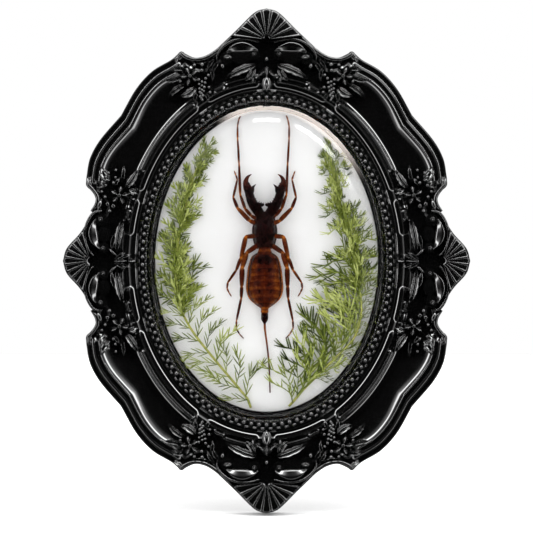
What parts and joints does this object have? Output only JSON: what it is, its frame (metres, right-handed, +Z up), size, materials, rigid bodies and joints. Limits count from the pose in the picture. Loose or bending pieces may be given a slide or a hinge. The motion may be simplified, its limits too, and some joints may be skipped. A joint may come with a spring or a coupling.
{
  "type": "framed whip scorpion under a glass dome",
  "caption": "Oval baroque wall frame in black resin with a clear domed cover over a dried whip scorpion and two fern sprigs on a white panel.",
  "frame": {"origin": "centre of the flat back, in the plane that lies against the wall", "axes": "+Z up the frame's long axis, -Y out of the wall towards the viewer, +X to the viewer's right"},
  "size_m": [0.1698, 0.024, 0.2102],
  "materials": {
    "black_resin": "satin gloss black",
    "black_board": "matt black",
    "white_card": "smooth white",
    "clear_glass": "clear polished",
    "dried_shell": "glossy dried shell",
    "fern_green": "preserved foliage"
  },
  "bodies": {
    "root": {"frame": "black_resin", "back_board": "black_board", "white_panel": "white_card", "dome_glass": "clear_glass", "whip_scorpion": "dried_shell", "fern_left": "fern_green", "fern_right": "fern_green"}
  },
  "joints": []
}
